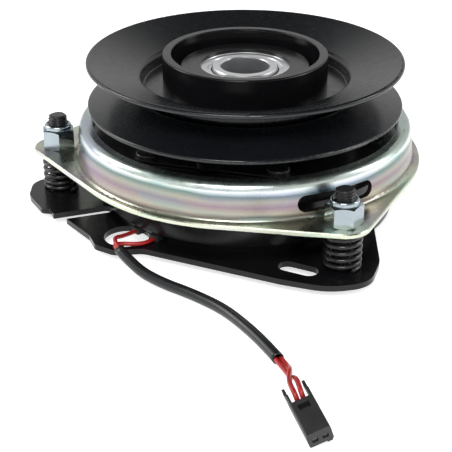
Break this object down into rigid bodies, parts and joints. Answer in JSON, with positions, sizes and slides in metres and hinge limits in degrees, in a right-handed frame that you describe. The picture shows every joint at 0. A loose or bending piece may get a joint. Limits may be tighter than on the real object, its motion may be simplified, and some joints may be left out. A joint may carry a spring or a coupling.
{
  "type": "electromagnetic clutch",
  "caption": "Electromagnetic power take-off clutch and brake with a V-belt pulley, spring-loaded brake plate, mounting plate and coil lead with connector.",
  "frame": {"origin": "centre of the shaft bore at the level the clutch lies on, the undersides of the stud heads and of the rotor hub", "axes": "+Z along the shaft bore towards the pulley; -Y towards the connector end of the lead; +X to the side of the mounting plate's slotted ear"},
  "size_m": [0.209, 0.3292, 0.0848],
  "materials": {
    "bearing_steel": "ground bearing steel",
    "black_oxide": "black oxide finish on steel",
    "black_paint": "gloss black paint",
    "black_spring": "black spring coating",
    "bobbin": "black nylon",
    "friction": "moulded friction compound",
    "grey_plastic": "matte dark grey nylon",
    "grommet": "black rubber",
    "insert": "natural nylon",
    "potting": "black epoxy",
    "pulley_black": "satin black coating",
    "red_wire": "red insulation",
    "rotor_steel": "bare turned steel",
    "sleeve": "black flexible sleeving",
    "spring_steel": "dark oiled spring steel",
    "terminal": "tinned contact",
    "winding": "enamelled copper wire",
    "yellow_zinc": "iridescent yellow zinc plating",
    "zinc": "bright zinc plating"
  },
  "bodies": {
    "field": {"mounting_plate": "black_paint", "brake_studs": "black_oxide", "field_shell": "black_paint", "lead_grommets": "grommet", "coil_bobbin": "bobbin", "coil_winding": "winding", "coil_potting": "potting", "field_snap_ring": "spring_steel", "field_bearing_outer_ring": "bearing_steel", "brake_spring_1": "black_spring", "brake_spring_2": "black_spring", "brake_spring_3": "black_spring", "lead_sleeve": "sleeve", "coil_lead_1": "red_wire", "coil_lead_2": "red_wire", "plug_lead_1": "red_wire", "plug_lead_2": "red_wire", "connector_housing": "grey_plastic", "connector_terminals": "terminal", "connector_latch": "grey_plastic"},
    "field_bearing_set": {"field_bearing_balls": "bearing_steel", "field_bearing_cage": "bearing_steel"},
    "rotor": {"rotor": "black_paint", "rotor_hub": "rotor_steel", "rotor_friction_ring": "friction", "field_bearing_inner_ring": "bearing_steel", "rotor_snap_ring": "spring_steel", "spacer_sleeve": "rotor_steel", "pulley_bearing_inner_ring": "bearing_steel"},
    "pulley_bearing_set": {"pulley_bearing_balls": "bearing_steel", "pulley_bearing_cage": "bearing_steel"},
    "pulley": {"pulley_hub": "black_paint", "pulley_upper_flange": "pulley_black", "pulley_lower_flange": "pulley_black", "pulley_bearing_outer_ring": "bearing_steel", "pulley_bearing_shields": "bearing_steel", "pulley_snap_ring": "spring_steel", "spring_hub_rivets": "black_oxide", "leaf_spring_1": "spring_steel", "leaf_spring_2": "spring_steel", "leaf_spring_3": "spring_steel"},
    "armature": {"armature_plate": "black_paint", "armature_rivets": "black_oxide"},
    "brake_plate": {"brake_plate": "yellow_zinc", "brake_lining": "friction"},
    "nut_1": {"adjusting_nut_1": "zinc", "nut_insert_1": "insert"},
    "nut_2": {"adjusting_nut_2": "zinc", "nut_insert_2": "insert"},
    "nut_3": {"adjusting_nut_3": "zinc", "nut_insert_3": "insert"}
  },
  "joints": [
    {"name": "rotor_spin", "type": "hinge", "parent": "field", "child": "rotor", "pos_m": [0, 0, 0.02], "axis": [0, 0, 1], "continuous": true},
    {"name": "field_bearing_set_spin", "type": "hinge", "parent": "field", "child": "field_bearing_set", "pos_m": [0, 0, 0.0165], "axis": [0, 0, 1], "continuous": true},
    {"name": "pulley_spin", "type": "hinge", "parent": "rotor", "child": "pulley", "pos_m": [0, 0, 0.0694], "axis": [0, 0, 1], "continuous": true},
    {"name": "pulley_bearing_set_spin", "type": "hinge", "parent": "rotor", "child": "pulley_bearing_set", "pos_m": [0, 0, 0.0694], "axis": [0, 0, 1], "continuous": true},
    {"name": "armature_slide", "type": "slide", "parent": "pulley", "child": "armature", "axis": [0, 0, 1], "range_m": [-0.0004, 0], "stiffness_N_per_m": 20000, "springref_m": 0.0002, "deforming": ["leaf_spring_1", "leaf_spring_2", "leaf_spring_3"]},
    {"name": "brake_plate_lift", "type": "slide", "parent": "field", "child": "brake_plate", "axis": [0, 0, 1], "range_m": [0, 0.0012], "stiffness_N_per_m": 9000, "springref_m": 0.004, "deforming": ["brake_spring_1", "brake_spring_2", "brake_spring_3"]},
    {"name": "nut_1_turn", "type": "hinge", "parent": "brake_plate", "child": "nut_1", "pos_m": [0.04602, -0.08878, 0.038], "axis": [0, 0, 1], "range_deg": [0, 289]},
    {"name": "nut_2_turn", "type": "hinge", "parent": "brake_plate", "child": "nut_2", "pos_m": [-0.0999, 0.00454, 0.038], "axis": [0, 0, 1], "range_deg": [0, 289]},
    {"name": "nut_3_turn", "type": "hinge", "parent": "brake_plate", "child": "nut_3", "pos_m": [0.05388, 0.08425, 0.038], "axis": [0, 0, 1], "range_deg": [0, 289]}
  ],
  "couplings": [
    {"joint": "field_bearing_set_spin", "follows": "rotor_spin", "ratio": 0.41},
    {"joint": "pulley_bearing_set_spin", "follows": "pulley_spin", "ratio": 0.6},
    {"joint": "nut_1_turn", "follows": "brake_plate_lift", "rad_per_m": 4188.8},
    {"joint": "nut_2_turn", "follows": "brake_plate_lift", "rad_per_m": 4188.8},
    {"joint": "nut_3_turn", "follows": "brake_plate_lift", "rad_per_m": 4188.8}
  ]
}
